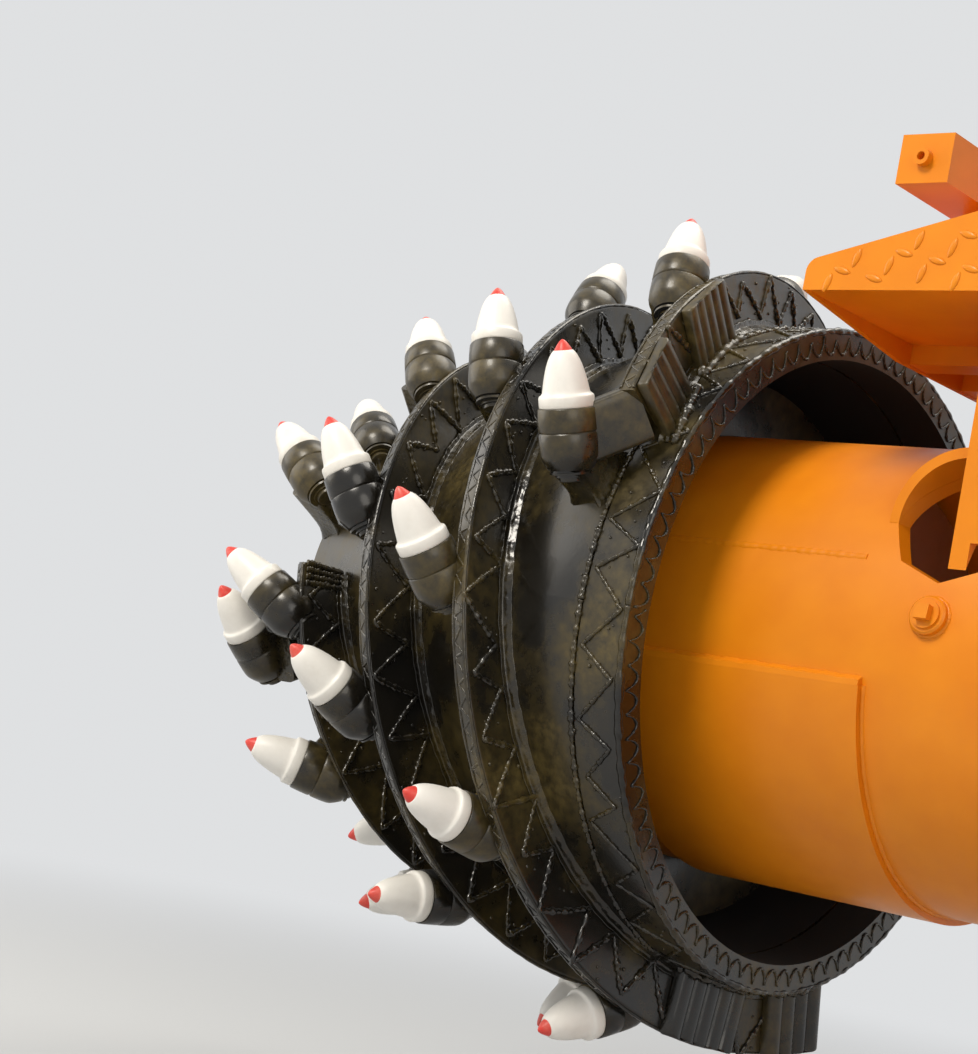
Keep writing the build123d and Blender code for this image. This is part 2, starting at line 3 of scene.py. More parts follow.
import bpy
import numpy as np
from mathutils import Matrix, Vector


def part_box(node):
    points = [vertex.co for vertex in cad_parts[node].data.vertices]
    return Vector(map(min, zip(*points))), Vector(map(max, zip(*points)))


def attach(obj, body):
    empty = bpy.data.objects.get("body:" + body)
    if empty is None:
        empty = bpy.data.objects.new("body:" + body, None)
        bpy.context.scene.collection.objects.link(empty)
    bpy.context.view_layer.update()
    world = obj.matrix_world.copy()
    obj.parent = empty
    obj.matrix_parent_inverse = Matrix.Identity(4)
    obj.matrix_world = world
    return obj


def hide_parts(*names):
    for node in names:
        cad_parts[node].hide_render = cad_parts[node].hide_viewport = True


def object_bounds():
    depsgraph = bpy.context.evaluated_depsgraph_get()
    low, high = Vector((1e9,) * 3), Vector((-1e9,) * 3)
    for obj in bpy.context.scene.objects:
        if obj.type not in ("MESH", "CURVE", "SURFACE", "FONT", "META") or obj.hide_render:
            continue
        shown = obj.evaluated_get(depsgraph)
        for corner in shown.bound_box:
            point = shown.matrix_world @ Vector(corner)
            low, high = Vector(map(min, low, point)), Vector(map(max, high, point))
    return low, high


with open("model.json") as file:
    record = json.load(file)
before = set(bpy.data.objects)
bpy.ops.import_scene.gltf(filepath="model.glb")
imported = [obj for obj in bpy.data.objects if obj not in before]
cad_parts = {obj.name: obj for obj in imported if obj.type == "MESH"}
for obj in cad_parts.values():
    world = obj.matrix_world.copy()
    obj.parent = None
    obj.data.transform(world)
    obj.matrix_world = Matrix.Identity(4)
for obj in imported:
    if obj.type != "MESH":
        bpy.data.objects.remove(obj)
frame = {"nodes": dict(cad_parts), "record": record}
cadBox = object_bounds()
nodes = frame["nodes"]
rng = np.random.default_rng(11)
print("frame loaded,", len(nodes), "nodes")


# mesh tools: a patch is (points, quads, triangles) and closes on itself

# rings[i, j] is point j of a closed profile at step i of a path; a fan from the middle shuts each end
def sweepRings(rings):
    steps, sides = rings.shape[:2]
    i, j = np.meshgrid(np.arange(steps - 1), np.arange(sides), indexing="ij")
    nextJ = (j + 1) % sides
    quads = np.stack([i * sides + j, i * sides + nextJ, (i + 1) * sides + nextJ, (i + 1) * sides + j], -1)
    k = np.arange(sides)
    nextK = (k + 1) % sides
    firstMiddle = np.full(sides, steps * sides)
    lastMiddle = firstMiddle + 1
    lastRow = (steps - 1) * sides
    firstFan = np.stack([firstMiddle, nextK, k], -1)
    lastFan = np.stack([lastMiddle, lastRow + k, lastRow + nextK], -1)
    points = np.vstack([rings.reshape(-1, 3), rings[0].mean(0), rings[-1].mean(0)])
    return points, quads.reshape(-1, 4), np.vstack([firstFan, lastFan])


# six times the volume that the patch shuts in, with its sign
def shutVolume(points, quads, fans):
    tris = np.vstack([quads[:, [0, 1, 2]], quads[:, [0, 2, 3]], fans])
    a, b, c = points[tris[:, 0]], points[tris[:, 1]], points[tris[:, 2]]
    return np.einsum("ij,ij->", a, np.cross(b, c))


# joins patches into one object at the origin, each turned so that its faces look outwards
def makePiece(name, patches, material, body, replaced=(), sharp=40, along=None):
    allPoints, allFaces, count = [], [], 0
    for points, quads, fans in patches:
        if shutVolume(points, quads, fans) < 0:
            quads, fans = quads[:, ::-1], fans[:, ::-1]
        allPoints.append(points)
        allFaces += (quads + count).tolist() + (fans + count).tolist()
        count += len(points)
    mesh = bpy.data.meshes.new(name)
    mesh.from_pydata(np.vstack(allPoints).tolist(), [], allFaces)
    mesh.polygons.foreach_set("use_smooth", np.ones(len(mesh.polygons), bool))
    mesh.set_sharp_from_angle(angle=np.radians(sharp))
    if along is not None:
        layer = mesh.attributes.new("along", "FLOAT", "POINT")
        layer.data.foreach_set("value", np.concatenate(along).astype(np.float32))
    mesh.update()
    piece = bpy.data.objects.new(name, mesh)
    bpy.context.scene.collection.objects.link(piece)
    mesh.materials.append(material)
    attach(piece, body)
    if replaced:
        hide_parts(*replaced)


def unit(v):
    return v / np.linalg.norm(v, axis=-1, keepdims=True)


# value at a share of the way from the first of a pair to the second
def between(pair, share):
    return pair[0] + share * (pair[1] - pair[0])


# angles of points spaced evenly round a full turn
def roundTurn(sides):
    return np.linspace(0, 2 * np.pi, sides, endpoint=False)


# a sine or cosine raised towards a square wave, so that a circle becomes a rounded rectangle
def squared(wave, power):
    return np.sign(wave) * np.abs(wave) ** power


# hand-laid weld
handWeld = {
    "turn": 6.283,  # one wave of the swelling, in radians
    "start": 6.28,  # range of its first phase
    "pitch": (1.0, 0.41, 3.3),
    "share": (0.45, 0.35, 0.3),
    "sunk": 0.5,  # depth of a bead below the surface, in heights
    "cornerAlong": 0.085,  # how far a zig-zag's corners stray, in periods and in widths of the strip
    "cornerAcross": 0.08,
}


# three sines of unlike pitch along a length stand for the swelling of hand-laid weld
def handSwell(length, wave, amount):
    shift = rng.uniform(0, handWeld["start"], 3)
    turned = handWeld["turn"] * length[:, None] / (wave * np.array(handWeld["pitch"])) + shift
    return 1 + amount * (np.array(handWeld["share"]) * np.sin(turned)).sum(1)


# weld bead: an ellipse carried along a path, partly sunk in the surface that the normals stand on
def beadAlong(path, normal, width, height, wave=0.014, lump=0.35, sides=8):
    tangent = unit(np.gradient(path, axis=0))
    normal = unit(normal)
    across = unit(np.cross(normal, tangent))
    length = np.concatenate([[0], np.cumsum(np.linalg.norm(np.diff(path, axis=0), axis=1))])
    swell = handSwell(length, wave, lump)[:, None, None]
    turn = roundTurn(sides)
    lift = np.where(np.sin(turn) > 0, np.sin(turn), handWeld["sunk"] * np.sin(turn))
    rise = lift[None, :, None] * height
    reach = np.cos(turn)[None, :, None] * width / 2
    return sweepRings(path[:, None] + (across[:, None] * reach + normal[:, None] * rise) * swell)


# zig-zag line over a strip: a triangle wave between its two edges, with the corners a little off by hand
def zigzag(length, period, low, high):
    count = int(length[-1] / period * 2) + 3
    turns = np.arange(count) * period / 2 + rng.normal(0, handWeld["cornerAlong"] * period, count)
    edges = np.where(np.arange(count) % 2, high, low)
    heights = edges + rng.normal(0, handWeld["cornerAcross"], count) * (high - low)
    return np.interp(length, np.sort(turns), heights)


# shader tools

def addNode(tree, kind, **values):
    node = tree.nodes.new(kind)
    for key, value in values.items():
        if hasattr(node, key):
            setattr(node, key, value)
        else:
            node.inputs[key.replace("_", " ")].default_value = value
    return node


def rampBetween(tree, source, low, high, outLow=0.0, outHigh=1.0):
    node = addNode(tree, "ShaderNodeMapRange", clamp=True)
    for spot, value in zip((1, 2, 3, 4), (low, high, outLow, outHigh)):
        node.inputs[spot].default_value = value
    tree.links.new(source, node.inputs[0])
    return node.outputs[0]


def mathOf(tree, operation, a, b):
    node = addNode(tree, "ShaderNodeMath", operation=operation)
    for spot, value in enumerate((a, b)):
        if isinstance(value, (int, float)):
            node.inputs[spot].default_value = value
        else:
            tree.links.new(value, node.inputs[spot])
    return node.outputs[0]


def mixColours(tree, share, a, b):
    node = addNode(tree, "ShaderNodeMix", data_type="RGBA")
    tree.links.new(share, node.inputs[0])
    for spot, value in ((6, a), (7, b)):
        if isinstance(value, tuple):
            node.inputs[spot].default_value = (*value, 1)
        else:
            tree.links.new(value, node.inputs[spot])
    return node.outputs[2]


def newGroup(name, ins, outs):
    tree = bpy.data.node_groups.new(name, "ShaderNodeTree")
    for label, kind, value in ins:
        socket = tree.interface.new_socket(label, in_out="INPUT", socket_type=kind)
        if value is not None:
            socket.default_value = value
    for label in outs:
        tree.interface.new_socket(label, in_out="OUTPUT", socket_type="NodeSocketFloat")
    return tree, tree.nodes.new("NodeGroupInput"), tree.nodes.new("NodeGroupOutput")


# paint film: patches of dust from two noises multiplied, slow tone, and brushed-on unevenness
def buildPaintFilm():
    ins = [
        ("Vector", "NodeSocketVector", None),
        ("Patch Size", "NodeSocketFloat", 5.0),
        ("Dust", "NodeSocketFloat", 0.5),
    ]
    tree, put, out = newGroup("paintFilm", ins, ["Dust", "Tone", "Height"])
    wide = addNode(tree, "ShaderNodeTexNoise", Detail=5.0, Roughness=0.62)
    fine = addNode(tree, "ShaderNodeTexNoise", Scale=70.0, Detail=4.0, Roughness=0.7)
    skin = addNode(tree, "ShaderNodeTexNoise", Scale=210.0, Detail=2.0)
    sag = addNode(tree, "ShaderNodeTexNoise", Scale=19.0, Detail=2.0)
    for noise in (wide, fine, skin, sag):
        tree.links.new(put.outputs["Vector"], noise.inputs["Vector"])
    tree.links.new(put.outputs["Patch Size"], wide.inputs["Scale"])
    patch = rampBetween(tree, wide.outputs[0], low=0.42, high=0.66)
    grain = rampBetween(tree, fine.outputs[0], low=0.35, high=0.7, outLow=0.25)
    patchy = mathOf(tree, "MULTIPLY", patch, grain)
    tree.links.new(mathOf(tree, "MULTIPLY", patchy, put.outputs["Dust"]), out.inputs["Dust"])
    tree.links.new(rampBetween(tree, sag.outputs[0], low=0.3, high=0.7), out.inputs["Tone"])
    skinHeight = mathOf(tree, "MULTIPLY", skin.outputs[0], 0.25)
    sagHeight = mathOf(tree, "MULTIPLY", sag.outputs[0], 0.9)
    tree.links.new(mathOf(tree, "ADD", skinHeight, sagHeight), out.inputs["Height"])
    return tree


# weld skin: small cells for droplets over a slow noise for run-together passes
def buildWeldSkin():
    tree, put, out = newGroup("weldSkin", [("Vector", "NodeSocketVector", None)], ["Height"])
    drops = addNode(tree, "ShaderNodeTexVoronoi", feature="SMOOTH_F1", Scale=170.0)
    runs = addNode(tree, "ShaderNodeTexNoise", Scale=85.0, Detail=3.0)
    for texture in (drops, runs):
        tree.links.new(put.outputs["Vector"], texture.inputs["Vector"])
    dropDepth = mathOf(tree, "MULTIPLY", drops.outputs[0], 0.8)
    tree.links.new(mathOf(tree, "SUBTRACT", runs.outputs[0], dropDepth), out.inputs["Height"])
    return tree


paintFilm = buildPaintFilm()
weldSkin = buildWeldSkin()


def newMaterial(name, **values):
    material = bpy.data.materials.new(name)
    material.use_nodes = True
    tree = material.node_tree
    shader = tree.nodes["Principled BSDF"]
    for key, value in values.items():
        shader.inputs[key.replace("_", " ")].default_value = value
    place = tree.nodes.new("ShaderNodeTexCoord").outputs["Object"]
    return material, tree, shader, place


def addFilm(tree, place, paint):
    film = tree.nodes.new("ShaderNodeGroup")
    film.node_tree = paintFilm
    film.inputs["Patch Size"].default_value = paint["patches"]
    film.inputs["Dust"].default_value = paint["dust"]
    tree.links.new(place, film.inputs["Vector"])
    return film


def setColour(tree, shader, share, a, b):
    tree.links.new(mixColours(tree, share, a, b), shader.inputs["Base Color"])


def addBump(tree, shader, height, strength, distance):
    bump = addNode(tree, "ShaderNodeBump", Strength=strength, Distance=distance)
    tree.links.new(height, bump.inputs["Height"])
    tree.links.new(bump.outputs[0], shader.inputs["Normal"])


# glossy black paint with an earthy film of dust, shinier and lumpier on weld, and darker on faces inside the
# drum as painted shade
blackPaint = {
    "shader": {"Specular_IOR_Level": 0.5, "Coat_Weight": 0.12, "Coat_Roughness": 0.1},
    "clean": (0.0075, 0.0062, 0.004),
    "earth": (0.125, 0.088, 0.020),
    "dust": 0.8,
    "patches": 7.0,
    "dustRough": 0.4,
    # darker colour for faces towards the axis: painted shade inside the drum
    "inside": (0.004, 0.0037, 0.0033),
    "insideRough": 0.8,
    "insideFrom": (-0.22, -0.12),  # metres from the axis times how far the face looks outwards
    "plain": {"rough": 0.24, "bump": (0.35, 0.0012)},  # bump: strength, distance
    "weld": {"rough": 0.15, "bump": (0.5, 0.0014)},
    "filmOnWeld": 0.3,
}


def makeBlack(name, kind):
    material, tree, shader, place = newMaterial(name, **blackPaint["shader"])
    film = addFilm(tree, place, blackPaint)
    # faces that look towards the drum's axis were never polished by work: duller; their darker colour is
    # painted shade inside the drum
    flat = addNode(tree, "ShaderNodeVectorMath", operation="MULTIPLY")
    tree.links.new(place, flat.inputs[0])
    flat.inputs[1].default_value = (0, 1, 1)
    facing = addNode(tree, "ShaderNodeVectorMath", operation="DOT_PRODUCT")
    tree.links.new(flat.outputs[0], facing.inputs[0])
    tree.links.new(place.node.outputs["Normal"], facing.inputs[1])
    inside = rampBetween(tree, facing.outputs["Value"], *blackPaint["insideFrom"], outLow=1.0, outHigh=0.0)
    dusty = mixColours(tree, film.outputs["Dust"], blackPaint["clean"], blackPaint["earth"])
    setColour(tree, shader, inside, dusty, blackPaint["inside"])
    dustRough = mathOf(tree, "MULTIPLY", film.outputs["Dust"], blackPaint["dustRough"])
    insideRough = mathOf(tree, "MULTIPLY", inside, blackPaint["insideRough"])
    rough = mathOf(tree, "ADD", dustRough, insideRough)
    tree.links.new(mathOf(tree, "ADD", rough, blackPaint[kind]["rough"]), shader.inputs["Roughness"])
    height = film.outputs["Height"]
    if kind == "weld":
        skin = tree.nodes.new("ShaderNodeGroup")
        skin.node_tree = weldSkin
        tree.links.new(place, skin.inputs["Vector"])
        filmHeight = mathOf(tree, "MULTIPLY", height, blackPaint["filmOnWeld"])
        height = mathOf(tree, "ADD", filmHeight, skin.outputs["Height"])
    addBump(tree, shader, height, *blackPaint[kind]["bump"])
    return material


# satin orange paint, a little uneven in tone
orangePaint = {
    "shader": {"Specular_IOR_Level": 0.3, "Coat_Weight": 0.05, "Coat_Roughness": 0.15},
    "deep": (0.74, 0.215, 0.004),
    "pale": (0.79, 0.245, 0.005),
    "grime": (0.40, 0.15, 0.03),
    "dust": 0.09,
    "patches": 3.0,
    "dustRough": 0.3,
    "rough": 0.36,
    "bump": (0.2, 0.0008),
}


def makeOrange():
    material, tree, shader, place = newMaterial("orangePaint", **orangePaint["shader"])
    film = addFilm(tree, place, orangePaint)
    colour = mixColours(tree, film.outputs["Tone"], orangePaint["deep"], orangePaint["pale"])
    setColour(tree, shader, film.outputs["Dust"], colour, orangePaint["grime"])
    dustRough = mathOf(tree, "MULTIPLY", film.outputs["Dust"], orangePaint["dustRough"])
    tree.links.new(mathOf(tree, "ADD", dustRough, orangePaint["rough"]), shader.inputs["Roughness"])
    addBump(tree, shader, film.outputs["Height"], *orangePaint["bump"])
    return material


# chalky white dip on the picks, greyer towards the collar
whiteDip = {
    "shader": {"Roughness": 0.42, "Coat_Weight": 0.05},
    "clean": (0.87, 0.84, 0.78),
    "soiled": (0.52, 0.47, 0.38),
    "dust": 0.25,
    "patches": 20.0,
    "collar": 0.35,  # grey at the collar, gone at this share of the length
    "collarReach": 0.2,
    "bump": (0.15, 0.0008),
}


def makeWhite():
    material, tree, shader, place = newMaterial("whiteDip", **whiteDip["shader"])
    film = addFilm(tree, place, whiteDip)
    reach = addNode(tree, "ShaderNodeAttribute", attribute_name="along").outputs["Fac"]
    low = rampBetween(tree, reach, 0.0, whiteDip["collarReach"], outLow=whiteDip["collar"], outHigh=0.0)
    # share of the grey colour: random dust patches plus a grey band that fades up from the collar
    greyShare = mathOf(tree, "ADD", film.outputs["Dust"], low)
    setColour(tree, shader, greyShare, whiteDip["clean"], whiteDip["soiled"])
    addBump(tree, shader, film.outputs["Height"], *whiteDip["bump"])
    return material


# red dip on the tips, rubbed paler in spots
redDip = {
    "shader": {"Roughness": 0.4},
    "clean": (0.72, 0.05, 0.035),
    "soiled": (0.78, 0.25, 0.18),
    "dust": 0.7,
    "patches": 60.0,
}

# turned steel of the gearbox, spindle and hub, oiled in spots
turnedSteel = {
    "shader": {"Metallic": 1.0, "Roughness": 0.35},
    "clean": (0.42, 0.42, 0.43),
    "soiled": (0.16, 0.14, 0.11),
    "dust": 0.6,
    "patches": 9.0,
}


def makeSpotted(name, finish):
    material, tree, shader, place = newMaterial(name, **finish["shader"])
    film = addFilm(tree, place, finish)
    setColour(tree, shader, film.outputs["Dust"], finish["clean"], finish["soiled"])
    return material


black, weldBlack = makeBlack("blackPaint", "plain"), makeBlack("weldBlack", "weld")
orange, white = makeOrange(), makeWhite()
red, steel = makeSpotted("redDip", redDip), makeSpotted("turnedSteel", turnedSteel)
finishOf = {
    "black_paint": black,
    "orange_paint": orange,
    "white_cap": white,
    "red_tip": red,
    "bare_steel": steel,
}
for entry in frame["record"]["subparts"]:
    nodes[entry["node"]].data.materials[0] = finishOf[entry["material_slot"]]
print("materials made")


def drumPiece(name, patches, replaced=(), sharp=40):
    makePiece(name, patches, black, "drum", replaced, sharp)


def drumWeld(name, patches, sharp=180):
    makePiece(name, patches, weldBlack, "drum", sharp=sharp)


# drum outline in metres; a station runs from the mouth to the nose, an angle from the front over the top
drum = {
    "mouthX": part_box("mouth_ring")[1].x,
    "radius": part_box("mouth_ring")[1].z,
    "bandWidth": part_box("mouth_ring")[1].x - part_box("mouth_ring")[0].x,
    "blendStation": 0.070,
    "blendRadius": 0.5,
    "cone": np.radians(20.3),
    "noseStation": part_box("mouth_ring")[1].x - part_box("barrel")[0].x,
    "nosePlate": 0.025,
}


# plain cylinder, then an arc tangent to it, then a cone tangent to the arc
def barrelRadius(station):
    past = np.clip(station - drum["blendStation"], 0, drum["blendRadius"] * np.sin(drum["cone"]))
    arc = drum["blendRadius"] - np.sqrt(drum["blendRadius"] ** 2 - past**2)
    cone = np.maximum(station - drum["blendStation"] - past, 0) * np.tan(drum["cone"])
    return drum["radius"] - arc - cone


# place on the drum from station, radius and angle in degrees
def onDrum(station, radius, angle):
    turn = np.radians(angle)
    station, radius, turn = np.broadcast_arrays(station, radius, turn)
    return np.stack([drum["mouthX"] - station, -radius * np.cos(turn), radius * np.sin(turn)], -1)


def outwardAt(angle):
    turn = np.radians(angle)
    return np.stack([np.zeros_like(turn), -np.cos(turn), np.sin(turn)], -1)


def forwardAt(angle):
    turn = np.radians(angle)
    return np.stack([np.zeros_like(turn), np.sin(turn), np.cos(turn)], -1)


toNose = np.array([-1.0, 0.0, 0.0])

# helical flights with hard-facing beads; a bead is width, height, then pitch and amount of its swelling
flights = {
    "count": 3,
    "lead": 0.579,
    "startStation": 0.035,
    "startAngle": 29.2,
    "first": [0.0, -15.5, 0.0],  # wrap in degrees where each plate begins
    "wrap": 332.95,  # and where all end
    "plateSteps": 361,
    "thick": 0.022,
    "corner": 0.0035,
    "sunk": 0.004,
    "lowestRow": 0.08,  # where a face's last row lies below the rim, as a share of its height
    "crown": 0.0794,
    "crownStation": -0.089,
    "crownArc": 1.43,
    "zigPeriod": 0.065,
    "zigReach": (0.17, 0.93),
    "faceBead": (0.0070, 0.0034, 0.022, 0.5),
    "edgeBead": (0.0045, 0.0014, 0.05, 0.2),
    "edgeInset": 0.002,
    "edgeLean": 0.5,
    "rimZigPeriod": 0.021,
    "rimZigReach": (0.2, 0.8),
    "rimBead": (0.0032, 0.0009),
    "beadMargin": 0.4,
    "beadSteps": 2200,
    "endPasses": 4,
    "endStep": 1.6,
    "endRows": 60,
    "endReach": (0.03, 0.93),
    "endBead": (0.009, 0.0034, 0.012, 0.25),
    "root": 0.0125,
    "rootMargin": 0.2,
    "rootSteps": 900,
    "rootSwell": (0.06, 0.09),
    "rootSunk": (0.004, 0.006),  # below the plate's face and below the barrel
    "passBulge": 0.15,
    "passSwell": (0.035, 0.22),
    "weldRadius": 0.4,
}


# the rims of all flights lie on one crowned arc
def rimRadius(station):
    along = station - flights["crownStation"]
    arcMiddle = drum["radius"] + flights["crown"] - flights["crownArc"]
    return arcMiddle + np.sqrt(flights["crownArc"] ** 2 - along**2)


def flightStation(wrap):
    return flights["startStation"] + flights["lead"] * wrap / 360


def startAngle(flight):
    return flights["startAngle"] - flight * 360 / flights["count"]


# rise of the helix towards the nose for each metre round it
def helixSlope(radius):
    return flights["lead"] / 2 / np.pi / radius


# plate: a closed section (mouth side, rounded rim, nose side, sunk foot) carried round the helix
def flightPlate(flight):
    wrap = np.linspace(flights["first"][flight], flights["wrap"], flights["plateSteps"])[:, None]
    bend = np.radians(np.linspace(0, 90, 5))
    cornerSide = flights["corner"] * (1 - np.cos(bend))
    cornerDrop = flights["corner"] * (1 - np.sin(bend))
    face = np.linspace(1, flights["lowestRow"], 6)
    flat = np.zeros(len(face))
    thick = flights["thick"]
    side = np.concatenate([flat, cornerSide, thick - cornerSide[::-1], flat + thick])
    share = np.concatenate([face, np.zeros(2 * len(bend)), face[::-1]])
    drop = np.concatenate([flat, cornerDrop, cornerDrop[::-1], flat])
    station = flightStation(wrap) + side
    base, rim = barrelRadius(station) - flights["sunk"], rimRadius(station)
    return sweepRings(onDrum(station, rim - share * (rim - base) - drop, startAngle(flight) + wrap))


# zig-zag up and down the face, a bead on either edge of the rim, a small zig-zag across the rim
def flightBeads(flight):
    margin = flights["beadMargin"]
    wrap = np.linspace(flights["first"][flight] + margin, flights["wrap"] - margin, flights["beadSteps"])
    angle = startAngle(flight) + wrap
    near = flightStation(wrap)
    far = near + flights["thick"]
    rimNear, base = rimRadius(near), barrelRadius(near)
    steps = np.radians(np.diff(wrap)) * (rimNear[1:] + base[1:]) / 2
    length = np.concatenate([[0], np.cumsum(steps)])
    out = outwardAt(angle)
    facing = -helixSlope(rimNear)[:, None] * forwardAt(angle) - toNose
    share = zigzag(length, flights["zigPeriod"], *flights["zigReach"])
    facePath = onDrum(near, between((base, rimNear), share), angle)
    beads = [beadAlong(facePath, facing, *flights["faceBead"])]
    inset, lean = flights["edgeInset"], flights["edgeLean"] * facing
    nearEdge = onDrum(near + inset, rimNear, angle)
    farEdge = onDrum(far - inset, rimRadius(far), angle)
    for edge, normal in ((nearEdge, out + lean), (farEdge, out - lean)):
        beads.append(beadAlong(edge[::2], normal[::2], *flights["edgeBead"]))
    cross = zigzag(length, flights["rimZigPeriod"], *flights["rimZigReach"])
    rimStation = near + cross * flights["thick"]
    beads.append(beadAlong(onDrum(rimStation, rimRadius(rimStation), angle), out, *flights["rimBead"]))
    # upright passes side by side over the end, where the last holder joins
    for step in range(flights["endPasses"]):
        share = np.linspace(*flights["endReach"], flights["endRows"])
        end = np.full_like(share, flights["wrap"] - flights["endStep"] * step)
        last = flightStation(end)
        radius = between((barrelRadius(last), rimRadius(last)), share)
        spot = onDrum(last, radius, startAngle(flight) + end)
        beads.append(beadAlong(spot, np.broadcast_to(-toNose, spot.shape), *flights["endBead"]))
    return beads


# root weld: a hollow fillet between plate and barrel, with the bulge of its passes as a rectified sine
def rootWeld(flight, noseSide):
    margin = flights["rootMargin"]
    wrap = np.linspace(flights["first"][flight] + margin, flights["wrap"] - margin, flights["rootSteps"])
    bend = np.radians(np.linspace(0, 90, 13))
    length = np.radians(wrap) * flights["weldRadius"]
    size = flights["root"] * handSwell(length, *flights["rootSwell"])[:, None]
    bulge = flights["passBulge"] * flights["root"] * np.abs(np.sin(3 * bend))[None]
    bulge = bulge * handSwell(length, *flights["passSwell"])[:, None]
    intoPlate, intoBarrel = (np.full((len(wrap), 1), -depth) for depth in flights["rootSunk"])
    off = np.hstack([size * (1 - np.sin(bend)) + bulge * np.sin(bend), intoPlate])
    rise = np.hstack([size * (1 - np.cos(bend)) + bulge * np.cos(bend), intoBarrel])
    near = flightStation(wrap)[:, None]
    station = near + flights["thick"] + off if noseSide else near - off
    return sweepRings(onDrum(station, barrelRadius(station) + rise, (startAngle(flight) + wrap)[:, None]))


for flight in range(flights["count"]):
    drumPiece(f"flightPlate{flight + 1}", [flightPlate(flight)], [f"flight_{flight + 1}"])
    drumWeld(f"flightBeads{flight + 1}", flightBeads(flight))
    drumWeld(f"flightWelds{flight + 1}", [rootWeld(flight, False), rootWeld(flight, True)])
print("flights made")

# ribbed wear blocks on the mouth side of each flight's first stretch
blocks = {
    "table": [(5.7, 0.078, 4), (24.2, 0.100, 5)],  # wrap from the start, width, ribs
    "depth": 0.015,
    "rib": 0.0045,
    "gap": 0.0009,
    "sunk": 0.004,
    "sides": (0.3, 0.65),  # rows on the sides, in heights
    "top": [(0.003, 0.0), (0.0008, 0.03), (0.0, 0.09)],  # bevel: below the top, share drawn in
    "weldBead": (0.013, 0.006, 0.02, 0.45),
    "weldSides": 10,
    "weldGap": 0.002,
    "weldFrom": 0.006,  # least station, so that no bead stands past the mouth
    "weldRadius": 0.42,
}


# station and angle of a block's middle on its flight
def blockPlace(flight, pastStart):
    wrap = flights["first"][flight] + pastStart
    return flightStation(wrap), startAngle(flight) + wrap


# section: straight back, front of round ribs (root of a rectified sine), carried outwards with a bevelled top
def wearBlock(flight, pastStart, width, ribs):
    station, angle = blockPlace(flight, pastStart)
    slope = helixSlope((drum["radius"] + rimRadius(station)) / 2)
    across = np.linspace(-0.5, 0.5, ribs * 12 + 1)
    ripple = np.sqrt(np.abs(np.sin(np.pi * ribs * (across + 0.5))))
    front = blocks["depth"] - blocks["rib"] * (1 - ripple)
    x = np.concatenate([across * width, [width / 2, -width / 2]])
    y = np.concatenate([across * width * slope - front, [width / 2 * slope, -width / 2 * slope]])
    y[-2:] -= blocks["gap"]
    height = rimRadius(station) - drum["radius"]
    below, drawnIn = np.array(blocks["top"]).T
    rise = np.concatenate([[-blocks["sunk"]], height * np.array(blocks["sides"]), height - below])
    inset = np.concatenate([np.zeros(len(rise) - len(drawnIn)), drawnIn])[:, None]
    middleX, middleY = x.mean(), y.mean()
    x = x * (1 - inset) + middleX * inset
    y = y * (1 - inset) + middleY * inset
    radius = drum["radius"] + rise[:, None]
    spot = onDrum(station, 0.0, angle) + outwardAt(angle) * radius[..., None]
    return sweepRings(spot + forwardAt(angle) * x[..., None] + toNose * y[..., None])


# lumpy bead round three sides of a block's foot
def blockWeld(flight, pastStart, width):
    station, angle = blockPlace(flight, pastStart)
    depth = blocks["depth"] + blocks["weldGap"]
    corners = np.array([[-width / 2, 0], [-width / 2, -depth], [width / 2, -depth], [width / 2, 0]])
    corners[:, 1] += corners[:, 0] * helixSlope(blocks["weldRadius"])
    steps = np.linspace(0, 3, 90)
    x, y = (np.interp(steps, np.arange(4), corners[:, k]) for k in (0, 1))
    weldStation = np.maximum(station + y, blocks["weldFrom"])
    path = onDrum(weldStation, drum["radius"], angle + np.degrees(x / drum["radius"]))
    normal = np.broadcast_to(outwardAt(angle), path.shape)
    return beadAlong(path, normal, *blocks["weldBead"], blocks["weldSides"])


for flight in range(flights["count"]):
    made = [wearBlock(flight, *row) for row in blocks["table"]]
    drumPiece(f"wearBlocks{flight + 1}", made, [f"wear_blocks_{flight + 1}"], sharp=50)
    welds = [blockWeld(flight, pastStart, width) for pastStart, width, ribs in blocks["table"]]
    drumWeld(f"blockWelds{flight + 1}", welds)
print("wear blocks made")

# mouth ring: zig-zag on the band, scalloped bead on its face, thick beads on both edges
band = {
    "steps": 2600,
    "zigPeriod": 0.068,
    "zigReach": (0.14, 0.86),
    "zigBead": (0.0048, 0.0028),
    "nearBead": (0.0085, 0.0034, 0.045, 0.3),
    "nearInset": (0.003, 0.001),  # along the drum and below its surface
    "farBead": (0.0065, 0.0034, 0.018, 0.6),
    "farLean": 0.4,
    "scallop": 0.0262,
    "scallopReach": (0.006, 0.021),  # below the band, depth
    "scallopBead": (0.0032, 0.002),
}


def mouthBeads():
    angle = np.linspace(0, 360, band["steps"])
    length = np.radians(angle) * drum["radius"]
    out = outwardAt(angle)
    towardsArm = np.broadcast_to(-toNose, out.shape)
    station = drum["bandWidth"] * zigzag(length, band["zigPeriod"], *band["zigReach"])
    inset, below = band["nearInset"]
    near = onDrum(inset, drum["radius"] - below, angle)
    far = onDrum(drum["bandWidth"], drum["radius"], angle)
    beads = [
        beadAlong(onDrum(station, drum["radius"], angle), out, *band["zigBead"]),
        beadAlong(near[::2], (out + towardsArm)[::2], *band["nearBead"]),
        beadAlong(far[::2], (out + band["farLean"] * towardsArm)[::2], *band["farBead"]),
    ]
    # scallops: the root of a rectified sine, sharp outside and round inside
    wave = np.sqrt(np.abs(np.sin(np.pi * length / band["scallop"])))
    top, depth = band["scallopReach"]
    scallops = onDrum(0.0, drum["radius"] - top - depth * wave, angle)
    beads.append(beadAlong(scallops, towardsArm, *band["scallopBead"]))
    return beads


drumWeld("mouthBeads", mouthBeads())
print("mouth ring beads made")

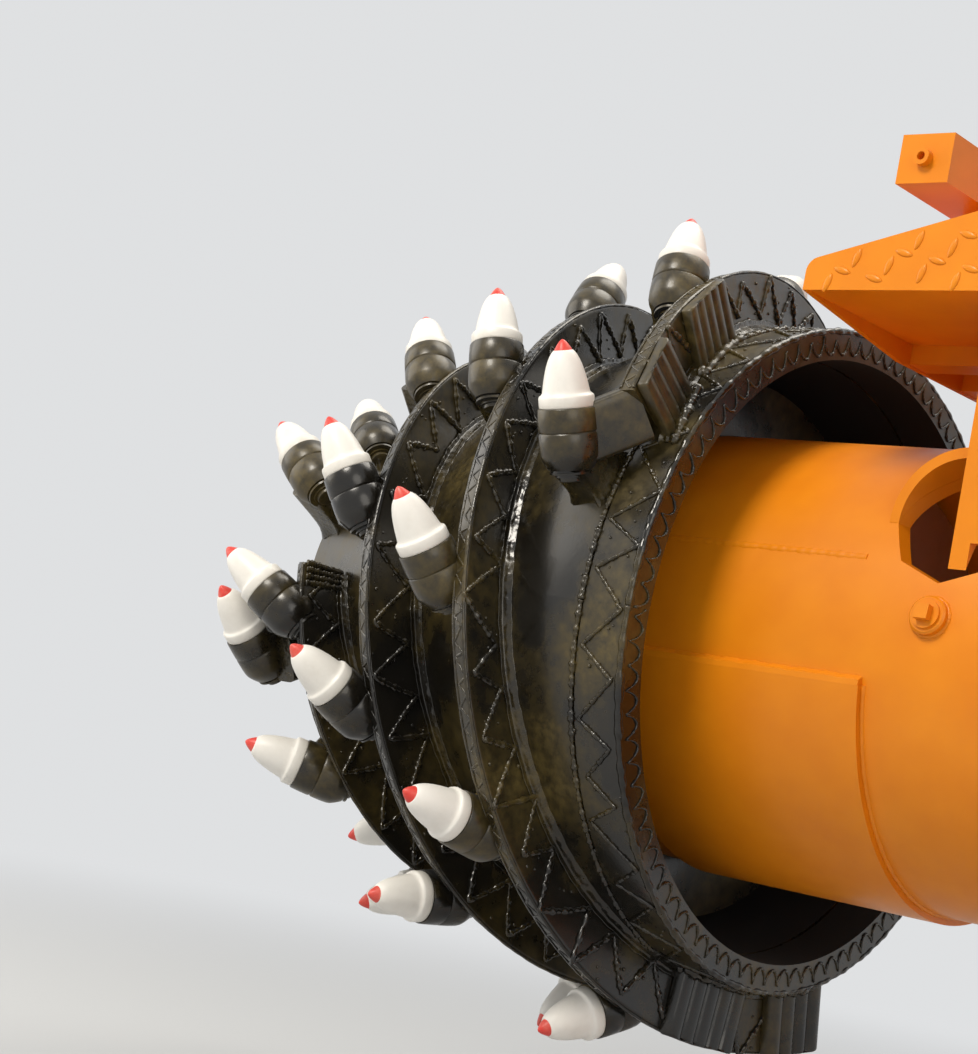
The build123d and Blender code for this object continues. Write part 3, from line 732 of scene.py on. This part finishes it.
# weld spatter on the band and on the flights
spatter = {
    "onBand": 170,
    "bandReach": (0.004, 0.10),
    "bandDraw": (0.3, 1),  # shares by which it crowds towards the mouth
    "onFlight": 120,
    "flightReach": (0.2, 0.95),
    "flightMargin": 2,
    "size": (0.0012, 0.0026),
    "rings": [(1.0, -0.3), (0.92, 0.4), (0.70, 0.75), (0.35, 0.95)],  # radius, rise, in sizes
    "aside": (0.3, 0.8, 0.5),  # a way that no normal takes
}


# droplet: rings that shrink as they rise, one set for all places
def droplets(centre, normal, size):
    turn = roundTurn(8)
    normal = unit(normal)
    first = unit(np.cross(normal, np.array(spatter["aside"])))
    second = np.cross(normal, first)
    circle = first[:, None] * np.cos(turn)[None, :, None] + second[:, None] * np.sin(turn)[None, :, None]
    scale, rise = np.array(spatter["rings"]).T[:, None, :, None, None]
    size = size[:, None, None, None]
    rings = centre[:, None, None] + (circle[:, None] * scale + normal[:, None, None] * rise) * size
    return [sweepRings(one) for one in rings]


def spatterPatches():
    count = spatter["onBand"]
    angle = rng.uniform(0, 360, count)
    station = rng.uniform(*spatter["bandReach"], count) * rng.uniform(*spatter["bandDraw"], count)
    spot = onDrum(station, barrelRadius(station), angle)
    patches = droplets(spot, outwardAt(angle), rng.uniform(*spatter["size"], count))
    count, margin = spatter["onFlight"], spatter["flightMargin"]
    for flight in range(flights["count"]):
        wrap = rng.uniform(flights["first"][flight] + margin, flights["wrap"] - margin, count)
        near = flightStation(wrap)
        radius = between((barrelRadius(near), rimRadius(near)), rng.uniform(*spatter["flightReach"], count))
        spot = onDrum(near, radius, startAngle(flight) + wrap)
        normal = np.broadcast_to(-toNose, spot.shape)
        patches += droplets(spot, normal, rng.uniform(*spatter["size"], count))
    return patches


drumWeld("weldSpatter", spatterPatches())
print("spatter made")

# picks: laced along the flights, with corner picks round the nose
lacing = {
    "pitch": 36.7,
    "first": [-4.6, 21.2, 7.9],  # wrap of each flight's first pick
    "overrun": 32.0,
    "offset": 0.052,
    "leadShift": 0.018,
    "leadLean": 3.0,
    "crownStation": drum["noseStation"] + 0.040,
    "crownAngle": 343.0,
    "crownLean": 8.0,
    "inner": (61.0, 45.0, 0.033),  # angle, lean and sink of the corner pick that sits lower
    "attack": (44.0, 59.3),  # pairs run from the mouth to the crown
    "stand": (0.013, 0.042),
    "lean": (14.0, 53.0),
    "leanFrom": 0.350,
}
# profiles: distance along the pick from its seat, radius
holder = {
    "profile": [
        (0.0, 0.0304), (-0.0010, 0.0311), (-0.012, 0.0317), (-0.0232, 0.0320), (-0.0246, 0.0313),
        (-0.0254, 0.0307), (-0.0262, 0.0313), (-0.0276, 0.0321), (-0.040, 0.0323), (-0.0485, 0.0319),
        (-0.0525, 0.0309), (-0.0575, 0.0283), (-0.0625, 0.0252), (-0.0645, 0.0238), (-0.0647, 0.0205),
        (-0.0667, 0.0205), (-0.0669, 0.0228), (-0.0692, 0.0224), (-0.0694, 0.0170), (-0.0724, 0.0170),
        (-0.0726, 0.0140), (-0.0766, 0.0135), (-0.0776, 0.0110),
    ],
    "sides": 48,
}
cap = {
    "profile": [
        (0.0, 0.0284), (0.0008, 0.0292), (0.0022, 0.0295), (0.0112, 0.0295), (0.0128, 0.0289),
        (0.0137, 0.0277), (0.0146, 0.0264), (0.0165, 0.0253), (0.0200, 0.0247), (0.0300, 0.0228),
        (0.0390, 0.0206), (0.0450, 0.0188), (0.0500, 0.0169), (0.0545, 0.0147), (0.0575, 0.0127),
        (0.0596, 0.0108), (0.0602, 0.0099),
    ],
    "sides": 40,
}
tip = {
    "profile": [
        (0.0598, 0.0098), (0.0625, 0.0084), (0.0660, 0.0062), (0.0690, 0.0039), (0.0708, 0.0019),
        (0.0715, 0.0004),
    ],
    "sides": 24,
}
foot = {
    "behind": 0.0384,
    "length": 0.062,
    "width": 0.044,
    "gap": 0.002,
    "sunk": 0.003,
    "corner": 0.35,
    "rows": [  # share of the way down, widening
        (0.0, 1.0), (0.25, 1.0), (0.5, 1.0), (0.7, 1.01), (0.82, 1.04), (0.92, 1.11), (1.0, 1.20),
    ],
}


# seat point and axes (across, sideways, along) of every pick in a row
def pickFrames(station, angle, lean, sink=0.0):
    share = station / lacing["crownStation"]
    attack = np.radians(between(lacing["attack"], share))[:, None]
    stand = between(lacing["stand"], share)
    lean = np.radians(lean)[:, None]
    upright = outwardAt(angle) * np.cos(attack) + forwardAt(angle) * np.sin(attack)
    along = upright * np.cos(lean) + toNose * np.sin(lean)
    across = toNose * np.cos(lean) - upright * np.sin(lean)
    seat = onDrum(station, rimRadius(station) + stand - sink, angle)
    return seat, np.stack([across, np.cross(along, across), along], 1)


# turned shape: each (distance along, radius) of a profile makes one ring about the pick's axis
def turnedPatches(shape, seat, axes):
    z, radius = np.array(shape["profile"]).T[..., None]
    turn = roundTurn(shape["sides"])
    x, y = radius * np.cos(turn), radius * np.sin(turn)
    local = np.stack([x, y, np.broadcast_to(z, x.shape)], -1)
    return [sweepRings(rings) for rings in seat[:, None, None] + np.einsum("psk,nkc->npsc", local, axes)]


# foot: a rounded rectangle that runs from the holder's axis down into the barrel and flares at its weld
def footPatches(seat, axes, pickStation, pickAngle):
    middle = seat - axes[:, 2] * foot["behind"]
    angle = np.degrees(np.arctan2(middle[:, 2], -middle[:, 1]))
    turnedBack = (pickAngle - angle + 180) % 360 - 180
    nearStation = pickStation - lacing["offset"] - flights["lead"] / 360 * turnedBack
    beside = nearStation + flights["thick"] + foot["gap"] + foot["width"] / 2
    last = drum["noseStation"] + drum["nosePlate"] - foot["width"] / 2
    station = np.minimum(np.maximum(drum["mouthX"] - middle[:, 0], beside), last)
    turn = roundTurn(44)
    down, flare = np.array(foot["rows"]).T[..., None]
    ripple = 0.3 * np.sin(7 * turn + 1.3) + 0.25 * np.sin(11 * turn)  # unevenness of the hand-laid flare
    uneven = 1 + (flare - 1) * ripple[None]
    x = squared(np.cos(turn), foot["corner"]) * foot["length"] / 2 * flare * uneven
    y = station[:, None, None] + squared(np.sin(turn), foot["corner"]) * foot["width"] / 2 * flare * uneven
    top = np.hypot(middle[:, 1], middle[:, 2])[:, None, None]
    radius = top + (barrelRadius(y) - foot["sunk"] - top) * down
    out, ahead = outwardAt(angle)[:, None, None], forwardAt(angle)[:, None, None]
    spot = np.stack([drum["mouthX"] - y, np.zeros_like(y), np.zeros_like(y)], -1)
    return [sweepRings(rings) for rings in spot + out * radius[..., None] + ahead * x[None, ..., None]]


def pickRow(ending, station, angle, lean, sink=0.0):
    seat, axes = pickFrames(station, angle, lean, sink)
    drumPiece(f"holderSet.{ending}", turnedPatches(holder, seat, axes), [f"holders_{ending}"], sharp=32)
    drumWeld(f"holderFeet.{ending}", footPatches(seat, axes, station, angle), sharp=70)
    z = np.array(cap["profile"])[:, 0] / cap["profile"][-1][0]
    reach = np.concatenate([np.repeat(z, cap["sides"]), [0.0, 1.0]])
    caps = turnedPatches(cap, seat, axes)
    tips = turnedPatches(tip, seat, axes)
    replaced = [f"picks_{ending}"]
    along = [reach] * len(caps)
    makePiece(f"pickCaps.{ending}", caps, white, "drum", replaced, sharp=60, along=along)
    makePiece(f"pickTips.{ending}", tips, red, "drum", [f"tips_{ending}"], sharp=60)


# lead pick's bracket
bracket = {"behind": 0.034, "halfHeight": 0.031, "halfWidth": 0.017, "corner": 0.3, "intoFlight": 0.5}


# a rounded block carried from a lead pick's holder to the end of its flight
def leadBracket(flight, seat, axes):
    first = flights["first"][flight]
    station = flightStation(first) + flights["thick"] / 2
    halfUp = 0.5 * (barrelRadius(station) + rimRadius(station))
    end = onDrum(station, halfUp, startAngle(flight) + first + bracket["intoFlight"])
    start = seat - bracket["behind"] * axes[2]
    step = np.linspace(0, 1, 7)[:, None, None]
    turn = roundTurn(40)[:, None]
    sideways = unit(np.cross(end - start, axes[2]))
    tall = unit(np.cross(sideways, end - start))
    high = squared(np.cos(turn), bracket["corner"]) * bracket["halfHeight"]
    wide = squared(np.sin(turn), bracket["corner"]) * bracket["halfWidth"]
    return sweepRings(start + (end - start) * step + tall * high + sideways * wide)


for flight in range(flights["count"]):
    wrap = np.arange(lacing["first"][flight], flights["wrap"] + lacing["overrun"], lacing["pitch"])
    station = flightStation(wrap) + lacing["offset"]
    bend = np.maximum(station - lacing["leanFrom"], 0) / (lacing["crownStation"] - lacing["leanFrom"])
    lean = between(lacing["lean"], bend)
    leads = wrap < flights["first"][flight]  # a pick ahead of its flight stands upright, nearer the nose
    station = np.where(leads, station + lacing["leadShift"], station)
    lean = np.where(leads, lacing["leadLean"], lean)
    pickRow(f"{flight + 1}", station, startAngle(flight) + wrap, lean)
    if leads.any():
        seat, axes = pickFrames(station[leads], startAngle(flight) + wrap[leads], lean[leads])
        brackets = [leadBracket(flight, *each) for each in zip(seat, axes)]
        drumPiece(f"leadBracket{flight + 1}", brackets, sharp=50)
# crown: one corner pick for each flight, and one more set lower and leaning more
innerAngle, innerLean, innerSink = lacing["inner"]
corners = np.arange(flights["count"])
angle = np.append(lacing["crownAngle"] - corners * 360 / flights["count"], innerAngle)
lean = np.append(np.full(len(corners), lacing["crownLean"]), innerLean)
sink = np.append(np.zeros(len(corners)), innerSink)
pickRow("crown", np.full(len(angle), lacing["crownStation"]), angle, lean, sink)
print("picks and holders made")

# tread plate: slanting rows of lentils, turn and turn about along and across the row
tread = {
    "pitch": (0.036, 0.018),
    "shift": 0.004,
    "long": 0.0108,
    "short": 0.0039,
    "pointed": 0.3,
    "rise": 0.0019,
    "rings": [(1.06, -0.15), (0.92, 0.45), (0.68, 0.85), (0.34, 1.0)],  # width and rise, as shares
    "tilt": (-31.0, 57.0),
    "margin": 0.011,
    "lowMargin": 0.006,
    "noseHeight": 0.032,
    "sideSpread": (1.3, 0.16),  # length in runs of the guard and height that the rows have to cover
    "deckSpread": 1.1,
}


# lentil: rings of an almond outline that shrink as they rise, one set for all places on a plate
def lentils(centre, turned, alongAxis, upAxis, normal):
    turn = roundTurn(14)
    long = tread["long"] * np.cos(turn)
    short = tread["short"] * np.sin(turn) * np.abs(np.sin(turn)) ** tread["pointed"]
    scale, rise = np.array(tread["rings"]).T
    spin = np.radians(turned)[:, None]
    x = long * np.cos(spin) - short * np.sin(spin)
    y = long * np.sin(spin) + short * np.cos(spin)
    flat = alongAxis * x[:, None, :, None] + upAxis * y[:, None, :, None]
    lift = normal * (rise * tread["rise"])[None, :, None, None]
    rings = centre[:, None, None] + flat * scale[None, :, None, None] + lift
    return [sweepRings(one) for one in rings]


guardLow, guardHigh = (np.array(corner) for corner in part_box("guard_sides"))
deckLow = guardLow[2] + tread["noseHeight"]
deckSlope = np.arctan((guardHigh[2] - deckLow) / (guardHigh[0] - guardLow[0]))


# two staggered lattices, one for each way that the lentils lie
def treadPlaces(width, height):
    across, down = tread["pitch"]
    count = int(width / across + height / down) + 3
    i, j = np.meshgrid(np.arange(-count, count), np.arange(-count, count))
    u = np.concatenate([((i + j) * across).ravel(), ((i + j + 0.5) * across).ravel()]) + tread["shift"]
    v = np.concatenate([((j - i) * down).ravel(), ((j - i - 0.5) * down).ravel()]) + tread["shift"]
    return u, v, np.repeat(tread["tilt"], i.size)


def treadPatches():
    run = guardHigh[0] - guardLow[0]
    slant = np.array([np.cos(deckSlope), 0, np.sin(deckSlope)])
    upright = np.array([-np.sin(deckSlope), 0, np.cos(deckSlope)])
    corner = np.array([guardLow[0], 0, deckLow])
    margin = tread["margin"]
    runs, sideHeight = tread["sideSpread"]
    u, v, tilt = treadPlaces(run * runs, sideHeight)
    spot = corner + slant * u[:, None] - upright * v[:, None]
    inside = (v > margin) & (spot[:, 2] > guardLow[2] + tread["lowMargin"])
    inside &= (spot[:, 0] > guardLow[0] + margin) & (spot[:, 0] < guardHigh[0] - margin)
    patches = []
    for y, side in ((guardLow[1], -1.0), (guardHigh[1], 1.0)):
        centre = spot[inside] + np.array([0, y, 0])
        patches += lentils(centre, tilt[inside], slant, upright, np.array([0, side, 0]))
    width = guardHigh[1] - guardLow[1]
    u, v, tilt = treadPlaces(run * tread["deckSpread"], width)
    inside = (u > margin) & (u < run / np.cos(deckSlope) - margin) & (v > margin) & (v < width - margin)
    across = np.array([0, 1.0, 0])
    centre = corner + across * guardLow[1] + slant * u[inside, None] + across * v[inside, None]
    return patches + lentils(centre, tilt[inside], slant, across, upright)


makePiece("treadLentils", treadPatches(), orange, "arm", sharp=180)
print("tread plate made")

# arm: seam of the rolled tube, fillets along the wear saddle, beads round saddle, hood, boss and flange
saddleLow, saddleHigh = (np.array(corner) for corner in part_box("wear_saddle"))
hoodLow, hoodHigh = (np.array(corner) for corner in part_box("port_hood"))
bossLow, bossHigh = (np.array(corner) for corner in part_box("plug_boss"))
arm = {
    "radius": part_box("arm_tube")[1].z,
    "flangeX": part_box("mount_flange")[0].x,
    "seamAngle": 21.9,
    "seamEnds": (-0.705, -0.12),
    "seamBead": (0.007, 0.0011, 0.012, 0.3),
    "saddleFit": 0.0003,
    "saddleBeadGap": 0.001,
    "saddleBead": (0.006, 0.0022, 0.03, 0.2),
    "hoodGap": 0.006,
    "hoodEnds": (8, 172),
    "hoodBead": (0.006, 0.0022, 0.016, 0.25),
    "bossBead": (0.005, 0.0022, 0.012, 0.25),
    "flangeBead": (0.012, 0.005, 0.02, 0.2),
}
# corners of the fillet: metres off the saddle's or the tube's face, degrees or climbs past the saddle's edge
fillet = {
    "climb": 2.1,
    "swell": (0.03, 0.10),
    "endInset": 0.001,
    "outer": (0.0002, -0.1),
    "middle": (-0.0012, 0.6),
    "inner": (-0.002, -0.4),
}
saddleRadius = -saddleLow[2]
saddleAngle = np.degrees(np.arcsin(saddleHigh[2] / (arm["radius"] + arm["saddleFit"])))  # at its inner corner


# place on the tube from x, radius and angle, the angle counted as on the drum
def onTube(x, radius, angle):
    return onDrum(drum["mouthX"] - x, radius, angle)


# fillet of four corners that leans on the saddle's upper edge and on the tube, carried along the edge
def saddleFillet(mirror):
    x = np.linspace(saddleLow[0] + fillet["endInset"], saddleHigh[0] - fillet["endInset"], 120)
    climb = fillet["climb"] * handSwell(x - x[0], *fillet["swell"])
    edge = np.full_like(x, saddleAngle)
    outer = onTube(x, saddleRadius + fillet["outer"][0], edge + fillet["outer"][1])
    middle = onTube(x, saddleRadius + fillet["middle"][0], edge + fillet["middle"][1] * climb)
    upper = onTube(x, arm["radius"], edge + climb)
    inner = onTube(x, arm["radius"] + fillet["inner"][0], edge + fillet["inner"][1])
    rings = np.stack([outer, middle, upper, inner], 1)
    return sweepRings(rings * np.array([1, mirror, 1]))


# bead on the tube, its normals straight out or leaning further
def tubeBead(x, angle, bead, lean=0.0):
    return beadAlong(onTube(x, arm["radius"], angle), outwardAt(angle) + lean, *bead)


def armBeads():
    beads = []
    seamStart, seamEnd = arm["seamEnds"]
    for start, end in ((seamStart, hoodLow[0] - arm["hoodGap"]), (hoodHigh[0] + arm["hoodGap"], seamEnd)):
        x = np.linspace(start, end, 160)
        beads.append(tubeBead(x, np.full_like(x, arm["seamAngle"]), arm["seamBead"]))
    angle = np.linspace(saddleAngle, -180 - saddleAngle, 260)
    beads.append(tubeBead(saddleHigh[0] + arm["saddleBeadGap"], angle, arm["saddleBead"]))
    # where the hood's cylinder meets the tube
    turn = np.radians(np.linspace(*arm["hoodEnds"], 180))
    hoodRadius = (hoodHigh[0] - hoodLow[0]) / 2
    x = (hoodLow[0] + hoodHigh[0]) / 2 + hoodRadius * np.cos(turn)
    z = hoodHigh[2] - hoodRadius + hoodRadius * np.sin(turn)
    lean = np.stack([np.cos(turn), np.zeros_like(turn), np.sin(turn)], -1)
    beads.append(tubeBead(x, np.degrees(np.arcsin(z / arm["radius"])), arm["hoodBead"], lean))
    # circle of the boss laid on the tube
    turn = np.linspace(0, 2 * np.pi, 90)
    bossRadius = (bossHigh[0] - bossLow[0]) / 2
    middle = (bossLow + bossHigh) / 2
    angle = np.degrees(np.arctan2(middle[2], -middle[1]) + bossRadius * np.sin(turn) / arm["radius"])
    beads.append(tubeBead(middle[0] + bossRadius * np.cos(turn), angle, arm["bossBead"]))
    beads.append(tubeBead(arm["flangeX"], np.linspace(0, 360, 420), arm["flangeBead"], toNose))
    return beads


makePiece("saddleFillets", [saddleFillet(1), saddleFillet(-1)], orange, "arm", sharp=20)
makePiece("armWelds", armBeads(), orange, "arm", sharp=60)

# screws of the nose cover
screws = {
    "count": 8,
    "circle": 0.086,
    "radius": 0.0135,
    "height": 0.012,
    "rings": [(-0.002, 1.0), (0.8, 1.0), (1.0, 0.88)],  # height and radius, as shares
}


# hexagon head: six-sided rings with a chamfered top
def screwHead(turned):
    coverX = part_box("nose_cover")[0].x
    turn = roundTurn(6)
    height, radius = np.array(screws["rings"]).T[..., None]
    x = coverX - height * screws["height"]
    y = screws["circle"] * np.cos(turned) + radius * screws["radius"] * np.cos(turn)
    z = screws["circle"] * np.sin(turned) + radius * screws["radius"] * np.sin(turn)
    return sweepRings(np.stack([np.broadcast_to(x, y.shape), y, z], -1))


heads = [screwHead(turned) for turned in roundTurn(screws["count"])]
drumPiece("coverScrews", heads, sharp=30)
print("arm welds and screws made")

# stage: pale floor below the drum, soft lamps, even surroundings
stageSet = {
    "floorZ": cadBox[0].z - 0.16,
    "floorSize": 40.0,
    "floorCells": 4,
    "floor": (0.55, 0.56, 0.57),
    "middleX": -0.75,
    "fade": (1.0, 3.4),
    "pale": (0.74, 0.75, 0.76),
    "lampColour": (1.0, 0.94, 0.84),
    "surroundings": 0.42,
    "surroundingsColour": (0.90, 0.94, 1.0),
    "lamps": [  # name, place, aim, size, watts
        ("keyLamp", (-1.0, -3.4, 3.0), (-0.75, 0.0, 0.1), 1.5, 135.0),
        ("sideLamp", (-4.0, -1.6, 1.2), (-0.9, 0.0, 0.1), 3.0, 45.0),
        ("rightLamp", (2.6, -2.6, 1.4), (-0.4, 0.0, 0.1), 2.6, 35.0),
        ("topLamp", (-0.8, 1.2, 3.6), (-0.7, 0.0, 0.0), 2.4, 70.0),
    ],
}


# light path: one for rays that should see the plain background
def seesBackground(tree):
    ray = tree.nodes.new("ShaderNodeLightPath")
    mirrored = mathOf(tree, "MAXIMUM", ray.outputs["Is Glossy Ray"], ray.outputs["Is Transmission Ray"])
    return mathOf(tree, "MAXIMUM", ray.outputs["Is Camera Ray"], mirrored)


# shows one shader where the share is none, another where it is whole
def mixInto(tree, share, first, second, outputName):
    mixed = tree.nodes.new("ShaderNodeMixShader")
    for spot, source in enumerate((share, first.outputs[0], second.outputs[0])):
        tree.links.new(source, mixed.inputs[spot])
    tree.links.new(mixed.outputs[0], tree.nodes[outputName].inputs["Surface"])


# the floor takes the shadow near the object and fades into the background further out
def makeFloor():
    cells = stageSet["floorCells"]
    side = cells + 1
    reach = np.linspace(-stageSet["floorSize"], stageSet["floorSize"], side)
    x, y = np.meshgrid(reach, reach, indexing="ij")
    points = np.stack([x, y, np.full_like(x, stageSet["floorZ"])], -1).reshape(-1, 3)
    i, j = np.meshgrid(np.arange(cells), np.arange(cells), indexing="ij")
    first = i * side + j
    quads = np.stack([first, first + side, first + side + 1, first + 1], -1).reshape(-1, 4)
    mesh = bpy.data.meshes.new("floor")
    mesh.from_pydata(points.tolist(), [], quads.tolist())
    floor = bpy.data.objects.new("floor", mesh)
    bpy.context.scene.collection.objects.link(floor)
    colour = (*stageSet["floor"], 1)
    material, tree, shader, place = newMaterial("paleFloor", Base_Color=colour, Roughness=0.9)
    away = addNode(tree, "ShaderNodeVectorMath", operation="DISTANCE")
    tree.links.new(place, away.inputs[0])
    away.inputs[1].default_value = (stageSet["middleX"], 0, stageSet["floorZ"])
    faded = rampBetween(tree, away.outputs["Value"], *stageSet["fade"])
    faded.node.interpolation_type = "SMOOTHSTEP"
    plain = addNode(tree, "ShaderNodeEmission", Color=(*stageSet["pale"], 1), Strength=1.0)
    share = mathOf(tree, "MULTIPLY", faded, seesBackground(tree))
    mixInto(tree, share, shader, plain, "Material Output")
    mesh.materials.append(material)


# sets an object into the scene with its three axes and its place
def standAt(thing, axes, place):
    turned = Matrix(np.stack(axes, 1).tolist()).to_4x4()
    turned.translation = place
    thing.matrix_world = turned
    bpy.context.scene.collection.objects.link(thing)


def makeLamps():
    for name, place, aim, size, watts in stageSet["lamps"]:
        data = bpy.data.lights.new(name, "AREA")
        data.shape = "DISK"
        data.size = size
        data.energy = watts
        data.color = stageSet["lampColour"]
        back = unit(np.array(place) - np.array(aim))
        side = unit(np.cross([0.0, 0.0, 1.0], back))
        standAt(bpy.data.objects.new(name, data), [side, np.cross(back, side), back], place)


def makeWorld():
    world = bpy.data.worlds.new("evenSurroundings")
    bpy.context.scene.world = world
    world.use_nodes = True
    tree = world.node_tree
    light = tree.nodes["Background"]
    light.inputs["Color"].default_value = (*stageSet["surroundingsColour"], 1)
    light.inputs["Strength"].default_value = stageSet["surroundings"]
    plain = addNode(tree, "ShaderNodeBackground", Color=(*stageSet["pale"], 1), Strength=1.0)
    mixInto(tree, seesBackground(tree), light, plain, "World Output")


# camera at the photograph's viewing angle: place in metres, angles in degrees, heading from +Y towards -X
view = {
    "place": (0.81694, -2.15543, -0.17556),
    "heading": 41.8213,
    "tilt": 5.7867,
    "roll": 10.9913,
    "focalPixels": 2200.0,
    "longSide": 1054.0,
    "sensor": 36.0,
}


def makeCamera():
    data = bpy.data.cameras.new("photoCamera")
    data.sensor_width = view["sensor"]
    data.lens = view["focalPixels"] * view["sensor"] / view["longSide"]
    camera = bpy.data.objects.new("photoCamera", data)
    heading, tilt, roll = np.radians([view["heading"], view["tilt"], view["roll"]])
    level = np.array([np.cos(heading), np.sin(heading), 0])
    ahead = np.array([-np.sin(heading) * np.cos(tilt), np.cos(heading) * np.cos(tilt), np.sin(tilt)])
    upright = np.cross(level, ahead)
    right = level * np.cos(roll) + upright * np.sin(roll)
    standAt(camera, [right, np.cross(right, ahead), -ahead], view["place"])
    bpy.context.scene.camera = camera


makeFloor()
makeLamps()
makeWorld()
makeCamera()
bpy.context.scene.view_settings.view_transform = "Standard"
print("stage made")
